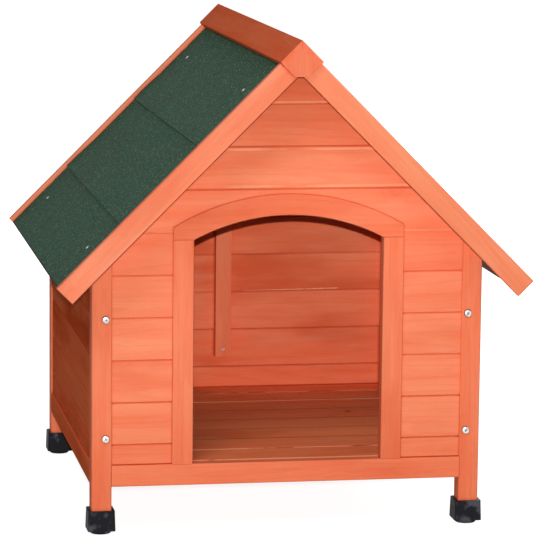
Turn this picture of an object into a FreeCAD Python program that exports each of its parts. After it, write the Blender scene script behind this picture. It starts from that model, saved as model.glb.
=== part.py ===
import FreeCAD, Part
import math
import os
import Sketcher

# Raised timber dog house: four corner posts on adjustable plastic feet, walls of
# tongue-and-groove boards, an arched doorway and a felted saddle roof.
# X runs to the right, Y from the front to the back, Z up. The origin is on the ground,
# in the middle of the house. All lengths are in millimetres, the roof's pitch in degrees.

os.makedirs("parts", exist_ok=True)
doc = FreeCAD.newDocument("dog_house")
sizes = doc.addObject("Spreadsheet::Sheet", "Sizes")

driving = {
    # frame of the walls, over the outer faces of the posts
    "body_width": 590,
    "body_depth": 606,
    "post_size": 30,
    "post_arris": 1.5,
    "rail_bottom": 72,
    "rail_height": 32,
    "frame_depth": 18,
    "frame_arris": 1,
    # doorway
    "door_width": 286.5,
    "door_spring": 337.5,
    "arch_rise": 35.5,
    "stile_width": 31,
    "header_width": 31.5,
    # wall boards
    "board_pitch": 63.5,
    "first_board": 30.7,
    "back_first_board": 35.6,
    "board_thick": 12,
    "board_recess": 3,
    "board_bevel": 1.8,
    "tongue_width": 4,
    "tongue_length": 4.5,
    "tongue_play": 0.2,
    "housing_depth": 5,
    "board_play": 0.2,
    # roof
    "eave_height": 384,
    "side_overhang": 60,
    "end_overhang": 77,
    "roof_pitch": 45,
    "barge_width": 32,
    "barge_thick": 12,
    "felt_sink": 7,
    "felt_thick": 2,
    "felt_lap": 20,
    "felt_ramp": 45,
    "upper_felt_reach": 210.6,
    "middle_felt_reach": 371,
    "felt_turn": 15,
    "deck_thick": 15,
    "roof_play": 0.3,
    "ridge_width": 45,
    "ridge_thick": 10,
    "ridge_overhang": 9,
    "ridge_end_height": 39,
    # inside
    "rafter_width": 28,
    "rafter_thick": 18,
    "batten_width": 28,
    "batten_thick": 18,
    "wall_batten_width": 26,
    "wall_batten_shift": 6,
    "wall_batten_lift": 54.5,
    "wall_batten_drop": 12,
    "floor_rise": 1,
    "floor_thick": 15,
    "floor_board_width": 73.3,
    "floor_edge": 2.5,
    "floor_gap": 0.6,
    "floor_play": 2,
    "ledge_width": 20,
    "bearer_width": 40,
    # fixings
    "bolt_inset": 20.8,
    "bolt_low": 41,
    "bolt_high": 220.5,
    "bolt_radius": 3,
    "bolt_head_radius": 5.8,
    "bolt_head_height": 3,
    "bolt_play": 0.2,
    "bolt_end": 3,
    "nut_radius": 5.8,
    "nut_height": 5,
    "screw_radius": 2,
    "screw_length": 42,
    "screw_head_radius": 2.9,
    "screw_head_height": 1.2,
    "screw_play": 0.2,
    "screw_inset": 20,
    "screw_upper": 103,
    "screw_eave": 72,
    # feet
    "cap_wall": 4.6,
    "cap_floor": 4,
    "cap_height": 30.5,
    "cap_flare": 1,
    "cap_corner": 4,
    "cap_play": 0.15,
    "disc_radius": 16,
    "disc_height": 5.2,
    "disc_edge": 1.2,
    "disc_gap": 0.3,
    "stem_radius": 4,
    "stem_length": 30,
    "stem_play": 0.08,
    "stem_bore_play": 1,
    "stem_bore_depth": 28,
}
for row, (alias, number) in enumerate(driving.items(), start=1):
    sizes.set(f"A{row}", alias)
    sizes.set(f"B{row}", str(number))
    sizes.setAlias(f"B{row}", alias)
doc.recompute()

# places that several pieces share
rail_top = "(Sizes.rail_bottom + Sizes.rail_height)"
eave_line = "(Sizes.body_width / 2 + Sizes.side_overhang)"
roof_end = "(Sizes.body_depth / 2 + Sizes.end_overhang)"
apex = f"(Sizes.eave_height + {eave_line} * tan(Sizes.roof_pitch))"
slope_length = f"({eave_line} / cos(Sizes.roof_pitch))"
deck_top = "(Sizes.felt_sink + Sizes.felt_thick)"
deck_under = f"({deck_top} + Sizes.deck_thick)"
wall_top = f"({deck_under} + Sizes.roof_play)"
floor_top = f"({rail_top} + Sizes.floor_rise)"
ledge_top = f"({floor_top} - Sizes.floor_thick)"
cap_bottom = "(Sizes.disc_height + Sizes.disc_gap)"
post_bottom = f"({cap_bottom} + Sizes.cap_floor)"
wall_inside = "(Sizes.board_recess + Sizes.board_thick)"
stile_outer = "(Sizes.door_width / 2 + Sizes.stile_width)"
spring_line = f"({rail_top} + Sizes.door_spring)"
arch_radius = "((Sizes.door_width ^ 2 / 4 + Sizes.arch_rise ^ 2) / (2 * Sizes.arch_rise))"
arch_centre = f"({spring_line} + Sizes.arch_rise - {arch_radius})"
crown_radius = f"({arch_radius} + Sizes.header_width)"
inner_length = f"(2 * {roof_end} - 2 * Sizes.barge_thick)"

nodes = {}
corners = {
    "front_left": (-1, -1),
    "front_right": (1, -1),
    "back_left": (-1, 1),
    "back_right": (1, 1),
}
sides = {"left": -1, "right": 1}
ends = {"front": -1, "back": 1}


def value(expression):
    return float(sizes.evalExpression(expression))


def slope_point(side, along, depth):
    """Point on a roof slope: along it from the apex line, and depth below its outer plane."""
    x = f"({side}) * (({along}) * cos(Sizes.roof_pitch) - ({depth}) * sin(Sizes.roof_pitch))"
    z = f"{apex} - ({along}) * sin(Sizes.roof_pitch) - ({depth}) * cos(Sizes.roof_pitch)"
    return x, z


def plumb_point(side, off_centre, depth):
    """Point at a distance from the middle of the house, depth below the slope's outer plane."""
    x = f"({side}) * ({off_centre})"
    z = f"{apex} - ({depth}) / cos(Sizes.roof_pitch) - ({off_centre}) * tan(Sizes.roof_pitch)"
    return x, z


def corner_point(side_x, side_y, across, along):
    """Point inward from the outer corner of the post at that corner of the house."""
    x = f"({side_x}) * (Sizes.body_width / 2 - ({across}))"
    y = f"({side_y}) * (Sizes.body_depth / 2 - ({along}))"
    return x, y


def polygon(points):
    """Drawing of a closed outline, with each corner bound to a pair of expressions."""

    def draw(sketch):
        places = [FreeCAD.Vector(value(across), value(up), 0) for across, up in points]
        for index, place in enumerate(places):
            following = places[(index + 1) % len(places)]
            sketch.addGeometry(Part.LineSegment(place, following), False)
        for index in range(len(places)):
            following = (index + 1) % len(places)
            sketch.addConstraint(Sketcher.Constraint("Coincident", index, 2, following, 1))
        for index, (across, up) in enumerate(points):
            bind(sketch, "DistanceX", (index, 1), places[index].x, across)
            bind(sketch, "DistanceY", (index, 1), places[index].y, up)

    return draw


def bind(sketch, kind, where, number, expression):
    """Add one dimension to a sketch and bind it to an expression."""
    place = sketch.addConstraint(Sketcher.Constraint(kind, *where, number))
    sketch.setExpression(f"Constraints[{place}]", expression)


def disc(radius):
    """Drawing of a circle about the sketch's origin."""

    def draw(sketch):
        circle = Part.Circle(FreeCAD.Vector(0, 0, 0), FreeCAD.Vector(0, 0, 1), value(radius))
        sketch.addGeometry(circle, False)
        sketch.addConstraint(Sketcher.Constraint("Coincident", 0, 3, -1, 1))
        bind(sketch, "Radius", (0,), value(radius), radius)

    return draw


def add_arc(sketch, radius, half_span):
    """Arc over the doorway, from the right to the left, about the arch's centre."""
    centre = FreeCAD.Vector(0, value(arch_centre), 0)
    circle = Part.Circle(centre, FreeCAD.Vector(0, 0, 1), value(radius))
    start = math.acos(value(half_span) / value(radius))
    arc = sketch.addGeometry(Part.ArcOfCircle(circle, start, math.pi - start), False)
    bind(sketch, "DistanceX", (arc, 3), 0, "0")
    bind(sketch, "DistanceY", (arc, 3), centre.y, arch_centre)
    bind(sketch, "Radius", (arc,), value(radius), radius)
    return arc


def add_chain(sketch, points):
    """Open run of lines, joined end to end. Returns the first and last line."""
    lines = []
    for start, end in zip(points, points[1:]):
        segment = Part.LineSegment(FreeCAD.Vector(*start, 0), FreeCAD.Vector(*end, 0))
        lines.append(sketch.addGeometry(segment, False))
    for line, following in zip(lines, lines[1:]):
        sketch.addConstraint(Sketcher.Constraint("Coincident", line, 2, following, 1))
    return lines


def arched_opening(sketch):
    """Outline of the doorway with its frame: upright sides under the crown arc."""
    radius = f"({crown_radius} + Sizes.board_play)"
    half = f"({stile_outer} + Sizes.board_play)"
    foot = f"({rail_top} - Sizes.rail_height)"
    arc = add_arc(sketch, radius, half)
    reach = value(half)
    top = value(arch_centre) + math.sqrt(value(radius) ** 2 - reach ** 2)
    low = value(foot)
    down, across, up = add_chain(sketch, [(-reach, top), (-reach, low), (reach, low), (reach, top)])
    sketch.addConstraint(Sketcher.Constraint("Coincident", arc, 2, down, 1))
    sketch.addConstraint(Sketcher.Constraint("Coincident", arc, 1, up, 2))
    sketch.addConstraint(Sketcher.Constraint("Vertical", down))
    sketch.addConstraint(Sketcher.Constraint("Vertical", up))
    sketch.addConstraint(Sketcher.Constraint("Horizontal", across))
    bind(sketch, "DistanceX", (down, 1), -reach, f"-{half}")
    bind(sketch, "DistanceX", (up, 2), reach, half)
    bind(sketch, "DistanceY", (across, 1), low, foot)


def header_outline(sketch):
    """Bow-shaped header: two concentric arcs, with square ends that stand on the stiles."""
    inner = "Sizes.door_width / 2"
    near = value(inner)
    far = value(stile_outer)
    low = value(spring_line)
    top = value(arch_centre) + math.sqrt(value(crown_radius) ** 2 - far ** 2)
    under = add_arc(sketch, arch_radius, inner)
    over = add_arc(sketch, crown_radius, stile_outer)
    left_foot, left_end = add_chain(sketch, [(-near, low), (-far, low), (-far, top)])
    right_foot, right_end = add_chain(sketch, [(near, low), (far, low), (far, top)])
    joined = [(left_foot, 1, under, 2), (left_end, 2, over, 2),
              (right_foot, 1, under, 1), (right_end, 2, over, 1)]
    for first, first_end, second, second_end in joined:
        sketch.addConstraint(
            Sketcher.Constraint("Coincident", first, first_end, second, second_end))
    for line in (left_foot, right_foot):
        sketch.addConstraint(Sketcher.Constraint("Horizontal", line))
    for line in (left_end, right_end):
        sketch.addConstraint(Sketcher.Constraint("Vertical", line))
    bind(sketch, "DistanceX", (left_foot, 1), -near, f"-{inner}")
    bind(sketch, "DistanceX", (left_end, 1), -far, f"-{stile_outer}")
    bind(sketch, "DistanceX", (right_foot, 1), near, inner)
    bind(sketch, "DistanceX", (right_end, 1), far, stile_outer)


def add_sketch(body, name, plane, draw):
    """Sketch on one of the body's own origin planes."""
    support = [item for item in body.Origin.OriginFeatures if item.Role == plane][0]
    sketch = body.newObject("Sketcher::SketchObject", name)
    sketch.AttachmentSupport = (support, [""])
    sketch.MapMode = "FlatFace"
    draw(sketch)
    return sketch


def prism(name, plane, draw, start, length):
    """Body padded from an outline, along X, Y or Z, from start over length."""
    body = doc.addObject("PartDesign::Body", name)
    pad = body.newObject("PartDesign::Pad", name + "_pad")
    pad.Profile = add_sketch(body, name + "_outline", plane, draw)
    pad.setExpression("Length", length)
    pad.Reversed = plane == "XZ_Plane"
    axis = {"XY_Plane": "z", "XZ_Plane": "y", "YZ_Plane": "x"}[plane]
    body.setExpression(f"Placement.Base.{axis}", start)
    body.Tip = pad
    return body


def turned(name, points):
    """Body turned about Z from a half outline of radius and height."""
    body = doc.addObject("PartDesign::Body", name)
    sketch = add_sketch(body, name + "_outline", "XZ_Plane", polygon(points))
    turn = body.newObject("PartDesign::Revolution", name + "_turn")
    turn.Profile = sketch
    turn.ReferenceAxis = (sketch, ["V_Axis"])
    turn.Angle = 360
    body.Tip = turn
    return body


def ease_face(body, size, away):
    """Chamfer all round the body's face that looks towards away."""
    doc.recompute()
    base = body.Tip
    best = max(range(len(base.Shape.Faces)),
               key=lambda index: base.Shape.Faces[index].CenterOfMass.dot(away))
    chamfer = body.newObject("PartDesign::Chamfer", body.Name + "_arris")
    chamfer.Base = (base, [f"Face{best + 1}"])
    chamfer.setExpression("Size", size)
    body.Tip = chamfer
    return body


def combine(kind, name, base, tool):
    """Boolean of two objects: Part::Cut, Part::Common or Part::Fuse."""
    result = doc.addObject(kind, name)
    result.Base = base
    result.Tool = tool
    return result


def group(name, members):
    """Separate solids that make one sub-part."""
    result = doc.addObject("Part::Compound", name)
    result.Links = members
    return result


def box(name, low, extent):
    """Plain box from the expressions of its low corner and its three lengths."""
    result = doc.addObject("Part::Box", name)
    for side, expression in zip(("Length", "Width", "Height"), extent):
        result.setExpression(side, expression)
    for axis, expression in zip("xyz", low):
        result.setExpression(f"Placement.Base.{axis}", expression)
    return result


def cylinder(name, radius, height):
    result = doc.addObject("Part::Cylinder", name)
    result.setExpression("Radius", radius)
    result.setExpression("Height", height)
    return result


def put(item, place):
    """Bind the item's position to three expressions."""
    for axis, expression in zip("xyz", place):
        item.setExpression(f"Placement.Base.{axis}", expression)
    return item


def point_along_y(item, side_y):
    """Turn an item made along Z so that its top looks out of the front or back wall."""
    tilt = FreeCAD.Rotation(FreeCAD.Vector(1, 0, 0), -90 * side_y)
    item.Placement = FreeCAD.Placement(FreeCAD.Vector(0, 0, 0), tilt)
    return item


def lean_on_slope(item, side):
    """Turn an item made along Z so that it stands square on a roof slope."""
    tilt = FreeCAD.Rotation(FreeCAD.Vector(0, side, 0), 45)
    item.Placement = FreeCAD.Placement(FreeCAD.Vector(0, 0, 0), tilt)
    item.setExpression("Placement.Rotation.Angle", "Sizes.roof_pitch")
    return item


def board_outline(place, thick, low, high, has_groove):
    """Section of one tongue-and-groove board. place maps depth and height to the sketch."""
    bevel = "Sizes.board_bevel"
    middle = f"({thick}) / 2"
    tongue = "Sizes.tongue_width / 2"
    slot = "(Sizes.tongue_width / 2 + Sizes.tongue_play)"
    slot_top = f"{low} + Sizes.tongue_length + Sizes.tongue_play"
    tip = f"{high} + Sizes.tongue_length"
    points = [
        (bevel, low),
        ("0", f"{low} + {bevel}"),
        ("0", f"{high} - {bevel}"),
        (bevel, high),
        (f"{middle} - {tongue}", high),
        (f"{middle} - {tongue}", tip),
        (f"{middle} + {tongue}", tip),
        (f"{middle} + {tongue}", high),
        (f"{thick} - {bevel}", high),
        (thick, f"{high} - {bevel}"),
        (thick, f"{low} + {bevel}"),
        (f"{thick} - {bevel}", low),
    ]
    if has_groove:
        points += [
            (f"{middle} + {slot}", low),
            (f"{middle} + {slot}", slot_top),
            (f"{middle} - {slot}", slot_top),
            (f"{middle} - {slot}", low),
        ]
    return polygon([place(depth, height) for depth, height in points])


def board_levels(first_board, ceiling):
    """Bottom and top of each wall board from the rail up to the ceiling height."""
    low = rail_top
    high = f"({rail_top} + {first_board})"
    levels = [(low, high)]
    while value(high) < ceiling:
        low = high
        high = f"({rail_top} + {first_board} + {len(levels)} * Sizes.board_pitch)"
        levels.append((low, high))
    return levels


# the space under the roof's boards, which trims everything that reaches up to them
under_roof = prism(
    "under_roof", "XZ_Plane",
    polygon([
        (f"-{eave_line}", "0"),
        (eave_line, "0"),
        plumb_point(1, eave_line, wall_top),
        plumb_point(1, "0", wall_top),
        plumb_point(-1, eave_line, wall_top),
    ]),
    "-Sizes.body_depth", "2 * Sizes.body_depth")

door_space = prism(
    "door_space", "XZ_Plane", arched_opening,
    "-Sizes.body_depth", "Sizes.body_depth")


def below_roof(name, item):
    return combine("Part::Common", name, item, under_roof)


# ---- corner posts, bored for the bolts and for the stems of the feet
def post_section(side_x, side_y, grooved):
    edge = "Sizes.post_arris"
    full = "Sizes.post_size"
    near = "(Sizes.board_recess - Sizes.board_play)"
    far = f"({wall_inside} + Sizes.board_play)"
    floor = f"({full} - Sizes.housing_depth - Sizes.board_play)"
    points = [(edge, "0"), (f"{full} - {edge}", "0"), (full, edge)]
    if grooved:
        points += [(full, near), (floor, near), (floor, far), (full, far)]
    points += [(full, f"{full} - {edge}"), (f"{full} - {edge}", full)]
    if grooved:
        points += [(far, full), (far, floor), (near, floor), (near, full)]
    points += [(edge, full), ("0", f"{full} - {edge}"), ("0", edge)]
    return polygon([corner_point(side_x, side_y, across, along) for across, along in points])


def bolt_heights():
    return [f"{rail_top} + Sizes.bolt_low", f"{rail_top} + Sizes.bolt_high"]


def post_centre(side_x, side_y):
    return corner_point(side_x, side_y, "Sizes.post_size / 2", "Sizes.post_size / 2")


def corner_bores(corner, side_x, side_y):
    """Clearance holes of one corner: two for its bolts and one for its foot's stem."""
    bores = []
    x, y = corner_point(side_x, side_y, "Sizes.bolt_inset", "-Sizes.bolt_head_height")
    reach = "Sizes.post_size + Sizes.batten_width + 2 * Sizes.nut_height"
    for index, height in enumerate(bolt_heights()):
        bore = cylinder(f"bolt_bore_{corner}_{index}", "Sizes.bolt_radius + Sizes.bolt_play", reach)
        point_along_y(bore, -side_y)
        bores.append(put(bore, (x, y, height)))
    stem = cylinder(f"stem_bore_{corner}", "Sizes.stem_radius + Sizes.stem_bore_play",
                    "Sizes.stem_bore_depth")
    x, y = post_centre(side_x, side_y)
    bores.append(put(stem, (x, y, post_bottom)))
    return group(f"bores_{corner}", bores)


# holes for the screws that hold the roof down, through the roof into rafters and posts
screw_rows = {"upper": "Sizes.screw_upper", "lower": f"({slope_length} - Sizes.screw_eave)"}
screw_line = "(Sizes.body_depth / 2 - Sizes.screw_inset)"
screw_holes = {}
for hand, side in sides.items():
    holes = []
    for end, side_y in ends.items():
        for row, along in screw_rows.items():
            hole = cylinder(f"screw_hole_{hand}_{end}_{row}",
                            "Sizes.screw_radius + Sizes.screw_play",
                            "Sizes.screw_length + 2 * Sizes.screw_play")
            lean_on_slope(hole, side)
            x, z = slope_point(side, along, "Sizes.felt_sink + Sizes.screw_length")
            holes.append(put(hole, (x, f"({side_y}) * {screw_line}", z)))
    screw_holes[hand] = group(f"screw_holes_{hand}", holes)

bores = {}
for corner, (side_x, side_y) in corners.items():
    bores[corner] = corner_bores(corner, side_x, side_y)
    leg = prism(f"leg_{corner}", "XY_Plane", post_section(side_x, side_y, False),
                post_bottom, f"{rail_top} - {post_bottom}")
    upper = prism(f"post_upper_{corner}", "XY_Plane", post_section(side_x, side_y, True),
                  rail_top, f"{apex} - {rail_top}")
    whole = combine("Part::Fuse", f"post_whole_{corner}", leg, upper)
    trimmed = below_roof(f"post_trimmed_{corner}", whole)
    bored = combine("Part::Cut", f"post_bored_{corner}", trimmed, bores[corner])
    hand = "left" if side_x < 0 else "right"
    nodes[f"post_{corner}"] = combine(
        "Part::Cut", f"post_drilled_{corner}", bored, screw_holes[hand])


# ---- bottom rails between the posts
def rail_section(side, half):
    """Rail with eased outer edges. half is the distance to its outer face."""
    edge = "Sizes.frame_arris"
    places = [
        ("0", f"Sizes.rail_bottom + {edge}"),
        ("0", f"{rail_top} - {edge}"),
        (edge, rail_top),
        ("Sizes.frame_depth", rail_top),
        ("Sizes.frame_depth", "Sizes.rail_bottom"),
        (edge, "Sizes.rail_bottom"),
    ]
    return polygon([(f"({side}) * ({half} - {depth})", up) for depth, up in places])


for end, side in ends.items():
    nodes[f"rail_{end}"] = prism(
        f"{end}_rail", "YZ_Plane", rail_section(side, "Sizes.body_depth / 2"),
        "Sizes.post_size - Sizes.body_width / 2", "Sizes.body_width - 2 * Sizes.post_size")
for hand, side in sides.items():
    nodes[f"rail_{hand}"] = prism(
        f"{hand}_rail", "XZ_Plane", rail_section(side, "Sizes.body_width / 2"),
        "Sizes.post_size - Sizes.body_depth / 2", "Sizes.body_depth - 2 * Sizes.post_size")


# ---- doorway: two stiles and the bowed header
def stile_section(side):
    edge = "Sizes.frame_arris"
    places = [
        ("0", edge),
        (edge, "0"),
        (f"Sizes.stile_width - {edge}", "0"),
        ("Sizes.stile_width", edge),
        ("Sizes.stile_width", "Sizes.frame_depth"),
        ("0", "Sizes.frame_depth"),
    ]
    return polygon([(f"({side}) * (Sizes.door_width / 2 + {across})",
                     f"{deep} - Sizes.body_depth / 2") for across, deep in places])


for hand, side in sides.items():
    nodes[f"door_stile_{hand}"] = prism(
        f"stile_{hand}", "XY_Plane", stile_section(side), rail_top, "Sizes.door_spring")
header = prism("header", "XZ_Plane", header_outline, "-Sizes.body_depth / 2", "Sizes.frame_depth")
nodes["door_header"] = ease_face(header, "Sizes.frame_arris", FreeCAD.Vector(0, -1, 0))


# ---- tongue-and-groove boards of the four walls
def wall_board(name, side, half, plane, level, start, length):
    """One wall board. side and half give the outer face of the wall that it belongs to."""
    low, high = level

    def place(depth, height):
        return f"({side}) * ({half} - Sizes.board_recess - ({depth}))", height

    draw = board_outline(place, "Sizes.board_thick", low, high, low != rail_top)
    return prism(name, plane, draw, start, length)


gable_ceiling = value(plumb_point(1, "0", wall_top)[1])
housed_half = "(Sizes.body_width / 2 - Sizes.post_size + Sizes.housing_depth)"
front_boards = {"left": [], "right": [], "gable": []}
back_boards = []
for index, level in enumerate(board_levels("Sizes.back_first_board", gable_ceiling)):
    board = wall_board(f"back_board_{index}", 1, "Sizes.body_depth / 2", "YZ_Plane", level,
                       f"-{housed_half}", f"2 * {housed_half}")
    back_boards.append(below_roof(f"back_board_trimmed_{index}", board))
for index, level in enumerate(board_levels("Sizes.first_board", gable_ceiling)):
    over_door = value(level[1]) > value(f"{arch_centre} + {crown_radius}")
    runs = {"gable": (f"-{housed_half}", f"2 * {housed_half}")}
    if not over_door:
        runs = {"left": (f"-{housed_half}", housed_half), "right": ("0", housed_half)}
    for part_name, (start, length) in runs.items():
        board = wall_board(f"{part_name}_board_{index}", -1, "Sizes.body_depth / 2", "YZ_Plane",
                           level, start, length)
        cleared = combine("Part::Cut", f"{part_name}_board_cleared_{index}", board, door_space)
        front_boards[part_name].append(
            below_roof(f"{part_name}_board_trimmed_{index}", cleared))
for part_name, boards in front_boards.items():
    nodes[f"front_boards_{part_name}"] = group(f"boards_front_{part_name}", boards)
nodes["back_boards"] = group("boards_back", back_boards)

side_ceiling = value(plumb_point(1, f"Sizes.body_width / 2 - {wall_inside}", wall_top)[1])
for hand, side in sides.items():
    boards = []
    for index, level in enumerate(board_levels("Sizes.first_board", side_ceiling)):
        board = wall_board(f"{hand}_wall_board_{index}", side, "Sizes.body_width / 2", "XZ_Plane",
                           level,
                           "Sizes.post_size - Sizes.housing_depth - Sizes.body_depth / 2",
                           "Sizes.body_depth - 2 * (Sizes.post_size - Sizes.housing_depth)")
        boards.append(below_roof(f"{hand}_wall_board_trimmed_{index}", board))
    nodes[f"side_boards_{hand}"] = group(f"boards_side_{hand}", boards)


# ---- inside: battens behind the side walls, rafters behind the gables, a batten on the back
for corner, (side_x, side_y) in corners.items():
    near = wall_inside
    far = f"({near} + Sizes.batten_thick)"
    start = "Sizes.post_size"
    end = "(Sizes.post_size + Sizes.batten_width)"
    outline = [(near, start), (far, start), (far, end), (near, end)]
    batten = prism(
        f"batten_{corner}", "XY_Plane",
        polygon([corner_point(side_x, side_y, across, along) for across, along in outline]),
        f"{floor_top} + Sizes.floor_gap", f"{apex} - {floor_top}")
    trimmed = below_roof(f"batten_trimmed_{corner}", batten)
    nodes[f"wall_batten_{corner}"] = combine(
        "Part::Cut", f"batten_bored_{corner}", trimmed, bores[corner])

rafter_under = f"({wall_top} + Sizes.rafter_width)"
rafter_reach = f"(Sizes.body_width / 2 - {wall_inside} - Sizes.batten_thick - Sizes.roof_play)"
for end, side_y in ends.items():
    for hand, side in sides.items():
        outline = [
            plumb_point(side, "Sizes.roof_play / 2", wall_top),
            plumb_point(side, rafter_reach, wall_top),
            plumb_point(side, rafter_reach, rafter_under),
            plumb_point(side, "Sizes.roof_play / 2", rafter_under),
        ]
        start = f"({side_y}) * (Sizes.body_depth / 2 - {wall_inside})"
        if side_y > 0:
            start = f"{start} - Sizes.rafter_thick"
        rafter = prism(f"rafter_{end}_{hand}", "XZ_Plane", polygon(outline), start,
                       "Sizes.rafter_thick")
        nodes[f"gable_rafter_{end}_{hand}"] = combine(
            "Part::Cut", f"rafter_drilled_{end}_{hand}", rafter, screw_holes[hand])

batten_half = "Sizes.wall_batten_width / 2"
batten_foot = f"({floor_top} + Sizes.wall_batten_lift)"
batten_side = f"({batten_half} + Sizes.wall_batten_shift)"
batten_head = f"({plumb_point(1, batten_side, rafter_under)[1]} - Sizes.wall_batten_drop)"
nodes["back_wall_batten"] = box(
    "wall_batten_back",
    (f"-{batten_side}", f"Sizes.body_depth / 2 - {wall_inside} - Sizes.batten_thick", batten_foot),
    ("Sizes.wall_batten_width", "Sizes.batten_thick", f"{batten_head} - {batten_foot}"))

# ---- floor boards on two side ledges and a middle bearer
floor_start = "(Sizes.frame_depth + Sizes.floor_play - Sizes.body_depth / 2)"
floor_end = "(Sizes.body_depth / 2 - Sizes.frame_depth - Sizes.floor_play)"
floor_count = math.ceil(value(f"({floor_end} - {floor_start}) / Sizes.floor_board_width"))
between_rails = "(Sizes.body_width / 2 - Sizes.frame_depth - Sizes.floor_gap)"
between_posts = "(Sizes.body_width / 2 - Sizes.post_size - Sizes.floor_gap)"
boards = []
for index in range(floor_count):
    near = f"({floor_start} + {index} * Sizes.floor_board_width)"
    far = f"({near} + Sizes.floor_board_width - Sizes.floor_gap)"
    half = between_rails
    if index == 0:
        half = between_posts
    if index == floor_count - 1:
        half = between_posts
        far = floor_end
    edge = "Sizes.floor_edge"
    outline = [
        (near, ledge_top),
        (near, f"{floor_top} - {edge}"),
        (f"{near} + {edge}", floor_top),
        (f"{far} - {edge}", floor_top),
        (far, f"{floor_top} - {edge}"),
        (far, ledge_top),
    ]
    boards.append(prism(f"floor_board_{index}", "YZ_Plane", polygon(outline),
                        f"-{half}", f"2 * {half}"))
nodes["floor_boards"] = group("boards_floor", boards)

ledge_height = f"{ledge_top} - Sizes.rail_bottom"
for hand, side in sides.items():
    start = f"({side}) * (Sizes.body_width / 2 - Sizes.frame_depth)"
    if side > 0:
        start = f"{start} - Sizes.ledge_width"
    nodes[f"floor_ledge_{hand}"] = box(
        f"ledge_{hand}",
        (start, "Sizes.post_size - Sizes.body_depth / 2", "Sizes.rail_bottom"),
        ("Sizes.ledge_width", "Sizes.body_depth - 2 * Sizes.post_size", ledge_height))
nodes["floor_bearer"] = box(
    "bearer_middle",
    ("-Sizes.bearer_width / 2", "Sizes.frame_depth - Sizes.body_depth / 2", "Sizes.rail_bottom"),
    ("Sizes.bearer_width", "Sizes.body_depth - 2 * Sizes.frame_depth", ledge_height))


# ---- roof boards, laid along the ridge and counted up from the eave
def deck_board(name, side, low, high):
    def place(depth, height):
        return slope_point(side, f"{deck_end} - ({height})", f"{deck_top} + {depth}")

    return prism(name, "XZ_Plane",
                 board_outline(place, "Sizes.deck_thick", low, high, low != "0"),
                 f"-{inner_length} / 2", inner_length)


deck_end = f"({slope_length} - Sizes.felt_thick)"
deck_count = math.ceil(value(f"({deck_end} - {deck_top}) / Sizes.board_pitch"))
for hand, side in sides.items():
    half_space = prism(
        f"roof_half_{hand}", "XZ_Plane",
        polygon([
            (f"({side}) * Sizes.roof_play / 2", "0"),
            (f"({side}) * 2 * {eave_line}", "0"),
            (f"({side}) * 2 * {eave_line}", f"2 * {apex}"),
            (f"({side}) * Sizes.roof_play / 2", f"2 * {apex}"),
        ]),
        f"-2 * {roof_end}", f"4 * {roof_end}")
    boards = []
    for index in range(deck_count):
        low = f"({index} * Sizes.board_pitch)" if index else "0"
        board = deck_board(f"deck_{hand}_{index}", side, low,
                           f"({index + 1} * Sizes.board_pitch)")
        if index >= deck_count - 2:
            board = combine("Part::Common", f"deck_cut_{hand}_{index}", board, half_space)
        boards.append(combine("Part::Cut", f"deck_drilled_{hand}_{index}", board,
                              screw_holes[hand]))
    nodes[f"roof_boards_{hand}"] = group(f"boards_roof_{hand}", boards)


# ---- roofing felt in three lapped strips a side, the lowest turned down over the eave
def felt_outline(side, top, reach):
    """Strip that lies on the boards and rises gently over the head of the strip below it."""
    raised = f"({reach} - Sizes.felt_lap)"
    flat = f"({raised} - Sizes.felt_ramp)"
    upper = "Sizes.felt_sink"
    return polygon([
        top(side, upper),
        slope_point(side, flat, upper),
        slope_point(side, raised, f"{upper} - Sizes.felt_thick"),
        slope_point(side, reach, f"{upper} - Sizes.felt_thick"),
        slope_point(side, reach, upper),
        slope_point(side, raised, upper),
        slope_point(side, flat, deck_top),
        top(side, deck_top),
    ])


def ridge_start(side, depth):
    return plumb_point(side, "Sizes.roof_play / 2", depth)


def lower_start(side, depth):
    """Head of the lowest strip, close under the step of the middle one."""
    return slope_point(side, "Sizes.middle_felt_reach - Sizes.felt_lap + Sizes.felt_thick", depth)


def middle_start(side, depth):
    """Head of the middle strip, close under the step of the upper one."""
    return slope_point(side, "Sizes.upper_felt_reach - Sizes.felt_lap + Sizes.felt_thick", depth)


def lowest_outline(side):
    upper = "Sizes.felt_sink"
    turn = f"({deck_top} + Sizes.felt_turn)"
    return polygon([
        lower_start(side, upper),
        slope_point(side, slope_length, upper),
        slope_point(side, slope_length, turn),
        slope_point(side, deck_end, turn),
        slope_point(side, deck_end, deck_top),
        lower_start(side, deck_top),
    ])


for hand, side in sides.items():
    outlines = {
        "upper": felt_outline(side, ridge_start, "Sizes.upper_felt_reach"),
        "middle": felt_outline(side, middle_start, "Sizes.middle_felt_reach"),
        "lower": lowest_outline(side),
    }
    for strip, draw in outlines.items():
        sheet = prism(f"felt_sheet_{strip}_{hand}", "XZ_Plane", draw,
                      f"-{inner_length} / 2", inner_length)
        nodes[f"felt_{strip}_{hand}"] = combine(
            "Part::Cut", f"felt_drilled_{strip}_{hand}", sheet, screw_holes[hand])


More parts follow.
